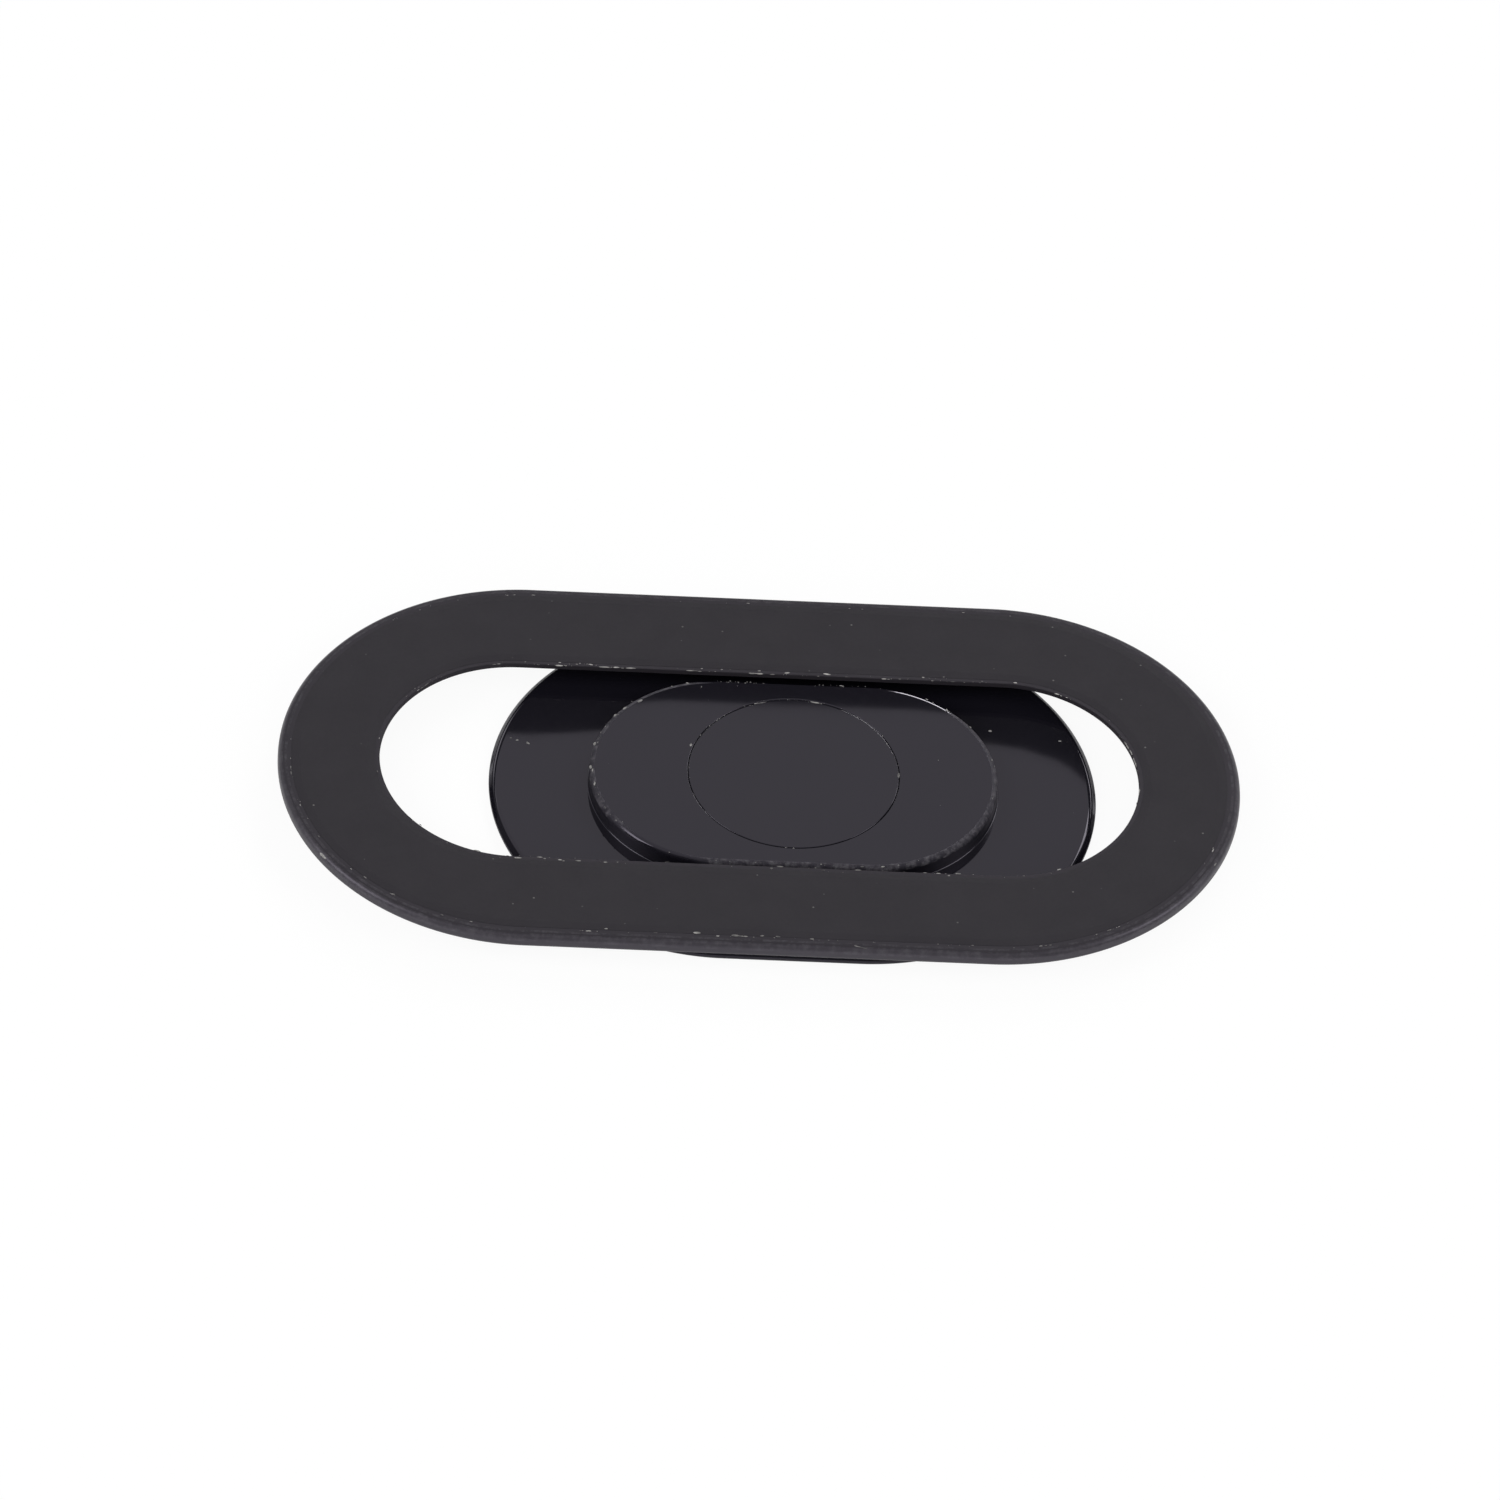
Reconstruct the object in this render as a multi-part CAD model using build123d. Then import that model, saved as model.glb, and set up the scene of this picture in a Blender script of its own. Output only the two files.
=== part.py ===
from build123d import *

import math
import os

# A slim webcam cover, lying as it does on a table: front down, adhesive back up.
# Millimetres. X runs along the slot, Z is up, and the origin is the middle of the
# frame's plan, at the height of the surface that the cover lies on.

# Frame: a flat steel ring with round ends, its slot punched from the back
frame_length = 36.5
frame_width = 18.9
frame_thickness = 0.6
end_band = 3.85  # from the outer edge to the slot, at the ends
side_band = 4.25  # from the outer edge to the slot, along the sides
slot_land = 0.2  # straight wall left at the back of the slot
slot_bevel = 0.5  # how far the slot flares out towards the front face
front_edge_radius = 0.2
back_edge_roll = 0.3  # width of the punched edge's slope, outside at the back
back_edge_drop = 0.06  # height of that slope

# Adhesive: a die-cut ring of tape on the frame's back
tape_thickness = 0.05
tape_edge_inset = 0.45  # from the frame's outer edge
tape_slot_inset = 0.12  # from the slot's edge

# Slider: a shutter plate in front of the frame, with a boss that runs in the slot
plate_thickness = 0.45
plate_end_inset = 0.07  # plate's end inside the frame's end, at the end of the travel
plate_side_inset = 0.5  # plate's side inside the frame's side
plate_front_radius = 0.18
plate_back_chamfer = 0.2
boss_length = 15.5
boss_edge_radius = 0.15
boss_root_radius = 0.12
slider_offset = 1.3  # how far right of the middle the slider stands

# Magnet: a disc let into the boss, which holds the slider to the steel ring
magnet_diameter = 8.0
magnet_thickness = 0.7
magnet_chamfer = 0.03

# Clearances
running_gap = 0.3  # plate to frame
boss_clearance = 0.25  # boss to slot, each side
boss_recess = 0.2  # boss top below the tape's face
pocket_clearance = 0.02  # magnet to pocket, all round

# The most of a wall's thickness that one rounded or chamfered edge may take
edge_limit = 0.45

# Sizes that follow
slot_length = frame_length - 2 * end_band
slot_width = frame_width - 2 * side_band
boss_width = slot_width - 2 * boss_clearance
travel = (slot_length - boss_length) / 2  # each way from the middle of the slot
plate_length = frame_length - 2 * plate_end_inset - 2 * travel
plate_width = frame_width - 2 * plate_side_inset

# Heights that follow
frame_front = plate_thickness + running_gap
frame_back = frame_front + frame_thickness
tape_face = frame_back + tape_thickness
boss_top = tape_face - boss_recess
boss_height = boss_top - plate_thickness
pocket_floor = boss_top - magnet_thickness


def bar(length, width, low, high):
    """A flat bar with round ends, between two heights."""
    return Pos(0, 0, low) * extrude(SlotOverall(length, width), amount=high - low)


def disc(radius, low, high):
    """A round disc between two heights."""
    return Pos(0, 0, low) * extrude(Circle(radius), amount=high - low)


def flat_faces(solid):
    """The level faces of a solid, from the lowest to the highest."""
    return solid.faces().filter_by(Axis.Z).sort_by(Axis.Z)


def rounded_rim(face, radius, wall):
    """The solid that a face belongs to, with the face's outer rim rounded."""
    return fillet(face.outer_wire().edges(), min(radius, edge_limit * wall))


def sloped_rim(face, width, drop, wall):
    """The solid that a face belongs to, with the face's outer rim cut to a slope."""
    return chamfer(face.outer_wire().edges(), width, min(drop, edge_limit * wall), reference=face)


def make_frame():
    """The ring: eased outside, with a slot that flares from a thin land at the back."""
    ring = bar(frame_length, frame_width, frame_front, frame_back)
    ring = rounded_rim(flat_faces(ring)[0], front_edge_radius, frame_thickness)
    ring = sloped_rim(flat_faces(ring)[-1], back_edge_roll, back_edge_drop, frame_thickness)
    slot = bar(slot_length, slot_width, frame_front, frame_back)
    bevel_depth = frame_thickness - slot_land
    bevel_mouth = SlotOverall(slot_length + 2 * slot_bevel, slot_width + 2 * slot_bevel)
    bevel_angle = math.degrees(math.atan(slot_bevel / bevel_depth))
    bevel = Pos(0, 0, frame_front) * extrude(bevel_mouth, amount=bevel_depth, taper=bevel_angle)
    return ring - slot - bevel


def make_adhesive_ring():
    """The tape, set in from both edges of the band."""
    outer_cut = 2 * tape_edge_inset
    inner_cut = 2 * tape_slot_inset
    outside = bar(frame_length - outer_cut, frame_width - outer_cut, frame_back, tape_face)
    inside = bar(slot_length + inner_cut, slot_width + inner_cut, frame_back, tape_face)
    return outside - inside


def make_slider_cover():
    """The shutter plate and its boss in one moulding, with a round pocket for the magnet."""
    plate = bar(plate_length, plate_width, 0, plate_thickness)
    plate = rounded_rim(flat_faces(plate)[0], plate_front_radius, plate_thickness)
    back_chamfer = min(plate_back_chamfer, edge_limit * plate_thickness)
    plate = chamfer(flat_faces(plate)[-1].outer_wire().edges(), back_chamfer)
    boss = bar(boss_length, boss_width, plate_thickness, boss_top)
    boss = rounded_rim(flat_faces(boss)[-1], boss_edge_radius, boss_height)
    cover = plate + boss
    plate_back = flat_faces(cover)[1]
    boss_root = plate_back.inner_wires()[0].edges()
    cover = fillet(boss_root, min(boss_root_radius, edge_limit * boss_height))
    pocket = disc(magnet_diameter / 2 + pocket_clearance, pocket_floor, boss_top)
    return Pos(slider_offset, 0, 0) * (cover - pocket)


def make_magnet_disc():
    """The disc magnet, flush with the boss and chamfered round both ends."""
    magnet = disc(magnet_diameter / 2, pocket_floor, boss_top)
    magnet = chamfer(magnet.edges(), min(magnet_chamfer, edge_limit * magnet_thickness))
    return Pos(slider_offset, 0, 0) * magnet


os.makedirs("parts", exist_ok=True)
export_step(make_frame(), "parts/frame.step")
export_step(make_adhesive_ring(), "parts/adhesive_ring.step")
export_step(make_slider_cover(), "parts/slider_cover.step")
export_step(make_magnet_disc(), "parts/magnet_disc.step")
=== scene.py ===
import math

import bmesh
import bpy
from bpy.props import FloatProperty, FloatVectorProperty, IntProperty, PointerProperty
from mathutils import Matrix, Vector


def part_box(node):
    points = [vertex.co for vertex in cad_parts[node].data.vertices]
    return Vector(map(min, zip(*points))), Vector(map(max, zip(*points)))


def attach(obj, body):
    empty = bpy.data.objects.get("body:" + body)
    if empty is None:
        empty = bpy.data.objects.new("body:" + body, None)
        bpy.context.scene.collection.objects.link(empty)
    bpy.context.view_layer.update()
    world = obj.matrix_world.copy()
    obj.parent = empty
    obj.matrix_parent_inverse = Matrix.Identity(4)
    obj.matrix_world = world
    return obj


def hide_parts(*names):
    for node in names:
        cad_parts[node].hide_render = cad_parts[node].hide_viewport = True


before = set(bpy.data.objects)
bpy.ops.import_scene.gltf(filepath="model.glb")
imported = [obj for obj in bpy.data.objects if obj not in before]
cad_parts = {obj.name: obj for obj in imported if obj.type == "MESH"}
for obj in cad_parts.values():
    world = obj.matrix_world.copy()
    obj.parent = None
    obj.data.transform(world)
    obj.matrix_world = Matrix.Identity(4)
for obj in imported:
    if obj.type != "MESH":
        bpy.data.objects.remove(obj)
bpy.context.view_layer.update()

bl_info = {
    "name": "Webcam cover slider",
    "version": (1, 0, 0),
    "blender": (4, 5, 0),
    "location": "View3D > Sidebar > Webcam cover",
    "description": "Builds a slim webcam cover: a painted steel ring, tape, a slider and a magnet",
    "category": "Object",
}

MM = 0.001

# Places of the solids, from the frame
RING_LOW, RING_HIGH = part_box("frame")
TAPE_LOW, TAPE_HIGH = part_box("adhesive_ring")
SLIDER_LOW, SLIDER_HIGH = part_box("slider_cover")
MAGNET_LOW, MAGNET_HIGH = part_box("magnet_disc")
RING_SIZE = RING_HIGH - RING_LOW
TAPE_SIZE = TAPE_HIGH - TAPE_LOW
SLIDER_SIZE = SLIDER_HIGH - SLIDER_LOW
MAGNET_SIZE = MAGNET_HIGH - MAGNET_LOW
SLIDER_X = (SLIDER_LOW.x + SLIDER_HIGH.x) / 2

# Fineness of the swept meshes
OUTLINE_POINTS = 480
CORNER_STEPS = 6
SUPPORT = 0.02 * MM  # from an arc's end to the loop that keeps the next flat evenly shaded
FLAT_REACH = 4  # how far most sections reach onto a flat face, in sizes of their edge

# How far an edge is rubbed, from 0 to 1; on the ring the paler rubbed colour is partly a painted
# edge highlight
UNTOUCHED = 0.0
SLOT_WEAR = 0.3
RIM_WEAR = 0.7
BOSS_WEAR = 1.0

# The photograph's width in pixels, how many of them make a millimetre at the object, and where the
# middle of the ring's back lies from the picture's middle
PICTURE_PIXELS = 1500
PIXELS_PER_MM = 26.416
RING_PIXELS_RIGHT = 9.7
RING_PIXELS_BELOW = 19.2


def linear(hex_colour):
    """An sRGB hex colour as linear RGBA."""
    channels = [int(hex_colour[i:i + 2], 16) / 255 for i in (1, 3, 5)]
    return [c / 12.92 if c <= 0.04045 else ((c + 0.055) / 1.055) ** 2.4 for c in channels] + [1.0]


# Settings that a user would change

def length_setting(name, description, millimetres):
    """A length with its default in millimetres."""
    return FloatProperty(name=name, description=description, default=millimetres * MM, min=0.0,
                         precision=5, unit="LENGTH")


def angle_setting(name, description, degrees):
    """An angle with its default in degrees."""
    return FloatProperty(name=name, description=description, default=math.radians(degrees),
                         subtype="ANGLE")


def share_setting(name, description, share):
    """A share from 0 to 1."""
    return FloatProperty(name=name, description=description, default=share, min=0.0, max=1.0)


def colour_setting(name, description, hex_colour):
    """A colour with its default as an sRGB hex value."""
    return FloatVectorProperty(name=name, description=description, default=linear(hex_colour),
                               size=4, min=0.0, max=1.0, subtype="COLOR")


class RingSettings(bpy.types.PropertyGroup):
    """Section of the steel ring and its tape."""
    end_band: length_setting("End band", "From the outer edge to the slot, at the ends", 3.85)
    side_band: length_setting("Side band", "From the outer edge to the slot, along the sides", 4.25)
    slot_land: length_setting("Slot land", "Straight wall left at the back of the slot", 0.2)
    slot_bevel: length_setting("Slot bevel", "How far the slot flares towards the front", 0.5)
    front_edge: length_setting("Front edge", "Radius of the outer edge at the front", 0.2)
    back_roll: length_setting("Back roll", "Width of the punched slope, outside at the back", 0.3)
    back_drop: length_setting("Back drop", "Height of that slope", 0.06)
    soft_edge: length_setting("Soft edge", "Radius where that slope leaves the flat face", 0.5)
    roll_edge: length_setting("Roll edge", "Radius where that slope turns into the wall", 0.24)
    crisp_edge: length_setting("Crisp edge", "Radius of the slot's punched edges", 0.025)
    tape_gap: length_setting("Tape gap", "From the slot's edge to the tape", 0.12)
    tape_slope: length_setting("Tape slope", "Width of the tape's pressed edge", 0.35)


class SliderSettings(bpy.types.PropertyGroup):
    """Section of the slider and its magnet."""
    plate_thickness: length_setting("Plate", "Thickness of the shutter plate", 0.45)
    plate_front_edge: length_setting("Plate front edge", "Radius of the plate's front edge", 0.18)
    plate_back_chamfer: length_setting("Plate back chamfer", "Chamfer of the back edge", 0.2)
    plate_back_edge: length_setting("Plate back edge", "Radius from that chamfer to the back", 0.25)
    boss_length: length_setting("Boss length", "Length of the boss that runs in the slot", 15.5)
    boss_clearance: length_setting("Boss clearance", "From the boss to the slot, each side", 0.25)
    boss_edge: length_setting("Boss edge", "Radius of the boss's top edge", 0.2)
    boss_root: length_setting("Boss root", "Radius where the boss meets the plate", 0.05)
    pocket_clearance: length_setting("Pocket clearance", "From the magnet to its pocket", 0.02)
    magnet_edge: length_setting("Magnet edge", "Radius of the magnet's edges", 0.03)
    crisp_edge: length_setting("Crisp edge", "Radius of the edges that the mould leaves", 0.03)


class FinishSettings(bpy.types.PropertyGroup):
    """Colours of the finishes."""
    paint: colour_setting("Paint", "Matte paint on the ring", "#1d1b1e")
    # Lighter than the paint on the flats: painted sheen, standing in for the front light on the
    # outer wall
    painted_wall_sheen: colour_setting("Wall paint", "Lighter colour on the ring's outer wall, a painted sheen", "#2d2b2f")
    # Paler along the edges: rubbed paint, and partly a painted edge highlight
    worn_paint_and_highlight: colour_setting("Worn paint", "Paint rubbed thin along the edges, partly a painted highlight", "#4c4a4e")
    tape: colour_setting("Tape", "Face of the adhesive tape", "#2b292d")
    tape_pale: colour_setting("Pale tape", "Paler clouds in the tape's face", "#312f33")
    plastic: colour_setting("Plastic", "Glossy black moulding", "#121117")
    plastic_scuffed: colour_setting("Scuffed plastic", "Moulding where it is scuffed", "#4a484c")
    epoxy: colour_setting("Epoxy", "Black coat of the magnet", "#141318")
    # Also the colour of two pale specks on the ring's outer edge that are painted highlights
    dust: colour_setting("Dust", "Specks that stick to edges and faces", "#b0aeab")


class DustSettings(bpy.types.PropertyGroup):
    """Dust and chipped paint along the edges."""
    smallest: length_setting("Smallest speck", "Half width of the smallest specks", 0.008)
    largest: length_setting("Largest speck", "Half width of the largest specks", 0.03)
    spacing: length_setting("Spacing", "Between the places where a speck may lie", 0.06)
    seed: IntProperty(name="Seed", description="Seed of the scatter", default=7, min=0)


class StageSettings(bpy.types.PropertyGroup):
    """Camera and light."""
    elevation: angle_setting("Elevation", "Camera above the horizon", 44.28)
    azimuth: angle_setting("Azimuth", "Camera round the object from its front", -2.53)
    roll: angle_setting("Roll", "Camera turned about its own axis", 4.12)
    distance: length_setting("Distance", "From the camera to the object", 600.0)
    aside: length_setting("Aside", "Middle of the ring right of the picture's middle",
                          RING_PIXELS_RIGHT / PIXELS_PER_MM)
    below: length_setting("Below", "Middle of the ring below the picture's middle",
                          RING_PIXELS_BELOW / PIXELS_PER_MM)
    ambient: share_setting("Ambient", "Light from all round", 0.22)
    overhead: share_setting("Overhead", "How white the room is mirrored straight above", 0.7)
    card_distance: length_setting("Card distance", "From the object to the dark card", 25.0)
    card_line: length_setting("Card line", "Where the card's image ends on the plate", 2.4)


class CoverSettings(bpy.types.PropertyGroup):
    """All the settings of the cover."""
    ring: PointerProperty(type=RingSettings)
    slider: PointerProperty(type=SliderSettings)
    finish: PointerProperty(type=FinishSettings)
    dust: PointerProperty(type=DustSettings)
    stage: PointerProperty(type=StageSettings)


# Node trees

def find_socket(sockets, key):
    """The socket with that identifier, or else with that name."""
    return next((socket for socket in sockets if socket.identifier == key), None) or sockets[key]


def add_node(tree, kind, inputs=None, **settings):
    """Adds a node with its settings, values and links. A link is given as (node, output)."""
    made = tree.nodes.new(kind)
    for name, value in settings.items():
        setattr(made, name, value)
    for key, value in (inputs or {}).items():
        socket = find_socket(made.inputs, key)
        if isinstance(value, tuple) and isinstance(value[0], bpy.types.Node):
            tree.links.new(find_socket(value[0].outputs, value[1]), socket)
        else:
            socket.default_value = value
    return made


def new_material(name):
    """A material and its node tree, which is empty."""
    material = bpy.data.materials.new(name)
    material.use_nodes = True
    material.node_tree.nodes.clear()
    return material, material.node_tree


def features(millimetres):
    """The scale of a noise whose features are about that many millimetres across."""
    return 1.0 / (millimetres * MM)


def levelness(tree, place):
    """Nodes for how level a surface lies: 0 on an upright wall, 1 on a flat."""
    facing = add_node(tree, "ShaderNodeSeparateXYZ", {"Vector": (place, "Normal")})
    return add_node(tree, "ShaderNodeMath", {"Value": (facing, "Z")}, operation="ABSOLUTE")


def rubbed_colour(tree, worn, patches, start, full, colour, bare):
    """Nodes for a colour that gives way to another in patches where the surface is worn."""
    rubbed = add_node(tree, "ShaderNodeMath", {
        "Value": worn, "Value_001": (patches, "Fac")}, operation="MULTIPLY")
    shown = add_node(tree, "ShaderNodeMapRange", {
        "Value": (rubbed, "Value"), "From Min": start, "From Max": full})
    return add_node(tree, "ShaderNodeMix", {
        "Factor_Float": (shown, "Result"), "A_Color": colour, "B_Color": bare}, data_type="RGBA")


# Materials

COOL_SHEEN = linear("#f4ecff")  # tint of what the black finishes mirror, a faint violet

UNSCUFFED = (
    # direction from the boss's middle, and where along it the scuffs begin to fade and are gone, in
    # millimetres: along the rear, and in a streak at the front left
    ((0.12, 0.993, 0.0), 4.2, 4.4),
    ((-0.485, -0.875, 0.0), 5.8, 6.15),
)


def matte_steel_paint(finish):
    """Matte black baked paint on punched steel: dull and even on the flats and in the slot, with a
    sheen on the outer wall, a fine grain and rubbed, paler edges. The outer wall also takes a
    lighter colour as painted sheen, and the paler edges are partly a painted edge highlight."""
    material, tree = new_material("matte_black_paint_on_steel")
    place = add_node(tree, "ShaderNodeTexCoord")
    level = levelness(tree, place)
    steep = add_node(tree, "ShaderNodeMapRange", {
        "Value": (level, "Value"), "From Min": 0.80, "From Max": 0.96,
        "To Min": 1.0, "To Max": 0.0})
    outward = add_node(tree, "ShaderNodeVectorMath", {
        "Vector": (place, "Object"), "Vector_001": (place, "Normal")}, operation="DOT_PRODUCT")
    outer = add_node(tree, "ShaderNodeMapRange", {
        "Value": (outward, "Value"), "From Min": 0.0, "From Max": 1.0 * MM})
    wall = add_node(tree, "ShaderNodeMath", {
        "Value": (steep, "Result"), "Value_001": (outer, "Result")}, operation="MULTIPLY")
    # The outer wall takes a lighter colour than the flats: painted sheen where the front light
    # falls
    coat = add_node(tree, "ShaderNodeMix", {
        "Factor_Float": (wall, "Value"), "A_Color": finish.paint, "B_Color": finish.painted_wall_sheen},
        data_type="RGBA")
    wear = add_node(tree, "ShaderNodeAttribute", attribute_name="wear")
    chips = add_node(tree, "ShaderNodeTexNoise", {
        "Vector": (place, "Object"), "Scale": features(0.3), "Detail": 4.0, "Roughness": 0.7})
    # Paler rubbed colour along the slot and rim edges: real wear, and partly a painted highlight
    colour = rubbed_colour(tree, (wear, "Fac"), chips, 0.30, 0.75,
                           (coat, "Result_Color"), finish.worn_paint_and_highlight)
    # The paint's own grain is finer, and is drawn this coarse so that it shows
    grain = add_node(tree, "ShaderNodeTexNoise", {
        "Vector": (place, "Object"), "Scale": features(0.09), "Detail": 2.0})
    bump = add_node(tree, "ShaderNodeBump", {
        "Height": (grain, "Fac"), "Strength": 0.25, "Distance": 0.01 * MM})
    cloud = add_node(tree, "ShaderNodeTexNoise", {
        "Vector": (place, "Object"), "Scale": features(2.5), "Detail": 3.0})
    dull = add_node(tree, "ShaderNodeMapRange", {
        "Value": (cloud, "Fac"), "To Min": 0.75, "To Max": 0.85})
    rough = add_node(tree, "ShaderNodeMapRange", {
        "Value": (wall, "Value"), "To Min": (dull, "Result"), "To Max": 0.38})
    shader = add_node(tree, "ShaderNodeBsdfPrincipled", {
        "Base Color": (colour, "Result_Color"), "Roughness": (rough, "Result"),
        "Normal": (bump, "Normal"), "IOR": 1.5, "Specular Tint": COOL_SHEEN})
    add_node(tree, "ShaderNodeOutputMaterial", {"Surface": (shader, "BSDF")})
    return material


def adhesive_tape(finish):
    """Die-cut acrylic foam tape: flat and dull, with a faintly mottled face, fine pores and pale
    specks."""
    material, tree = new_material("black_acrylic_foam_tape")
    place = add_node(tree, "ShaderNodeTexCoord")
    cloud = add_node(tree, "ShaderNodeTexNoise", {
        "Vector": (place, "Object"), "Scale": features(1.6), "Detail": 4.0})
    mottled = add_node(tree, "ShaderNodeMix", {
        "Factor_Float": (cloud, "Fac"), "A_Color": finish.tape, "B_Color": finish.tape_pale},
        data_type="RGBA")
    spots = add_node(tree, "ShaderNodeTexVoronoi", {
        "Vector": (place, "Object"), "Scale": features(0.7)}, feature="F1")
    spot = add_node(tree, "ShaderNodeMapRange", {
        "Value": (spots, "Distance"), "From Min": 0.02, "From Max": 0.07,
        "To Min": 1.0, "To Max": 0.0})
    luck = add_node(tree, "ShaderNodeSeparateColor", {"Color": (spots, "Color")})
    share = add_node(tree, "ShaderNodeMapRange", {
        "Value": (luck, "Red"), "From Min": 0.3, "To Max": 0.3})
    speck = add_node(tree, "ShaderNodeMath", {
        "Value": (spot, "Result"), "Value_001": (share, "Result")}, operation="MULTIPLY")
    colour = add_node(tree, "ShaderNodeMix", {
        "Factor_Float": (speck, "Value"), "A_Color": (mottled, "Result_Color"),
        "B_Color": finish.dust}, data_type="RGBA")
    # The foam's own pores are finer, and are drawn this coarse so that they show
    pores = add_node(tree, "ShaderNodeTexNoise", {
        "Vector": (place, "Object"), "Scale": features(0.12), "Detail": 3.0})
    bump = add_node(tree, "ShaderNodeBump", {
        "Height": (pores, "Fac"), "Strength": 0.2, "Distance": 0.01 * MM})
    rough = add_node(tree, "ShaderNodeMapRange", {
        "Value": (pores, "Fac"), "To Min": 0.62, "To Max": 0.78})
    shader = add_node(tree, "ShaderNodeBsdfPrincipled", {
        "Base Color": (colour, "Result_Color"), "Roughness": (rough, "Result"),
        "Normal": (bump, "Normal"), "IOR": 1.46, "Specular IOR Level": 0.1})
    add_node(tree, "ShaderNodeOutputMaterial", {"Surface": (shader, "BSDF")})
    return material


def moulded_abs(finish):
    """Black ABS from a polished mould: a clear reflection on flats that wave a little, satin side
    walls, and a boss whose edge is scuffed dull in patches, except along the rear and in a streak
    at the front left."""
    material, tree = new_material("polished_black_abs")
    place = add_node(tree, "ShaderNodeTexCoord")
    scuffs = add_node(tree, "ShaderNodeTexNoise", {
        "Vector": (place, "Object"), "Scale": features(0.28), "Detail": 5.0, "Roughness": 0.7})
    centred = add_node(tree, "ShaderNodeVectorMath", {
        "Vector": (place, "Object"), "Vector_001": (SLIDER_X, 0.0, 0.0)}, operation="SUBTRACT")
    wear = add_node(tree, "ShaderNodeAttribute", attribute_name="wear")
    worn = (wear, "Fac")
    for direction, start, end in UNSCUFFED:
        reach = add_node(tree, "ShaderNodeVectorMath", {
            "Vector": (centred, "Vector"), "Vector_001": direction}, operation="DOT_PRODUCT")
        handled = add_node(tree, "ShaderNodeMapRange", {
            "Value": (reach, "Value"), "From Min": start * MM, "From Max": end * MM,
            "To Min": 1.0, "To Max": 0.0})
        kept = add_node(tree, "ShaderNodeMath", {
            "Value": worn, "Value_001": (handled, "Result")}, operation="MULTIPLY")
        worn = (kept, "Value")
    colour = rubbed_colour(tree, worn, scuffs, 0.45, 0.65, finish.plastic, finish.plastic_scuffed)
    wave = add_node(tree, "ShaderNodeTexNoise", {
        "Vector": (place, "Object"), "Scale": features(3.0), "Detail": 1.0})
    bump = add_node(tree, "ShaderNodeBump", {
        "Height": (wave, "Fac"), "Strength": 0.3, "Distance": 0.004 * MM})
    dents = add_node(tree, "ShaderNodeBump", {
        "Height": (scuffs, "Fac"), "Strength": worn, "Distance": 0.05 * MM,
        "Normal": (bump, "Normal")})
    haze = add_node(tree, "ShaderNodeTexNoise", {
        "Vector": (place, "Object"), "Scale": features(1.2), "Detail": 5.0})
    polish = add_node(tree, "ShaderNodeMapRange", {
        "Value": (haze, "Fac"), "To Min": 0.03, "To Max": 0.06})
    level = levelness(tree, place)
    satin = add_node(tree, "ShaderNodeMapRange", {
        "Value": (level, "Value"), "From Min": 0.2, "From Max": 0.6,
        "To Min": 0.4, "To Max": (polish, "Result")})
    patchy = add_node(tree, "ShaderNodeMapRange", {
        "Value": (scuffs, "Fac"), "From Min": 0.35, "From Max": 0.65,
        "To Min": 0.6, "To Max": 0.85})
    rough = add_node(tree, "ShaderNodeMapRange", {
        "Value": worn, "To Min": (satin, "Result"), "To Max": (patchy, "Result")})
    shader = add_node(tree, "ShaderNodeBsdfPrincipled", {
        "Base Color": (colour, "Result_Color"), "Roughness": (rough, "Result"),
        "Normal": (dents, "Normal"), "IOR": 1.51, "Specular Tint": COOL_SHEEN})
    add_node(tree, "ShaderNodeOutputMaterial", {"Surface": (shader, "BSDF")})
    return material


def epoxy_coat(finish):
    """Black epoxy coat on a disc magnet: glossy, with a softer reflection and a faint mottle."""
    material, tree = new_material("black_epoxy_coat")
    place = add_node(tree, "ShaderNodeTexCoord")
    mottle = add_node(tree, "ShaderNodeTexNoise", {
        "Vector": (place, "Object"), "Scale": features(0.8), "Detail": 4.0})
    rough = add_node(tree, "ShaderNodeMapRange", {
        "Value": (mottle, "Fac"), "To Min": 0.04, "To Max": 0.07})
    colour = add_node(tree, "ShaderNodeMix", {
        "Factor_Float": (mottle, "Fac"), "A_Color": finish.plastic, "B_Color": finish.epoxy},
        data_type="RGBA")
    peel = add_node(tree, "ShaderNodeTexNoise", {
        "Vector": (place, "Object"), "Scale": features(1.5), "Detail": 1.0})
    bump = add_node(tree, "ShaderNodeBump", {
        "Height": (peel, "Fac"), "Strength": 0.25, "Distance": 0.003 * MM})
    shader = add_node(tree, "ShaderNodeBsdfPrincipled", {
        "Base Color": (colour, "Result_Color"), "Roughness": (rough, "Result"),
        "Normal": (bump, "Normal"), "IOR": 1.51, "Specular Tint": COOL_SHEEN})
    add_node(tree, "ShaderNodeOutputMaterial", {"Surface": (shader, "BSDF")})
    return material


def lint_dust_and_glints(finish):
    """Pale lint and grit: dull specks, each a little lighter or darker than the next. Two pale
    specks on the ring's outer edge use it as painted highlights, where glints fall.
    """
    material, tree = new_material("pale_lint_and_glints")
    place = add_node(tree, "ShaderNodeTexCoord")
    patch = add_node(tree, "ShaderNodeTexNoise", {
        "Vector": (place, "Object"), "Scale": features(0.4), "Detail": 2.0})
    dim = add_node(tree, "ShaderNodeMapRange", {
        "Value": (patch, "Fac"), "From Min": 0.35, "From Max": 0.75,
        "To Min": 0.1, "To Max": 1.0})
    colour = add_node(tree, "ShaderNodeMix", {
        "Factor_Float": (dim, "Result"), "A_Color": finish.tape, "B_Color": finish.dust},
        data_type="RGBA")
    shader = add_node(tree, "ShaderNodeBsdfPrincipled", {
        "Base Color": (colour, "Result_Color"), "Roughness": 0.9})
    add_node(tree, "ShaderNodeOutputMaterial", {"Surface": (shader, "BSDF")})
    return material


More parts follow.
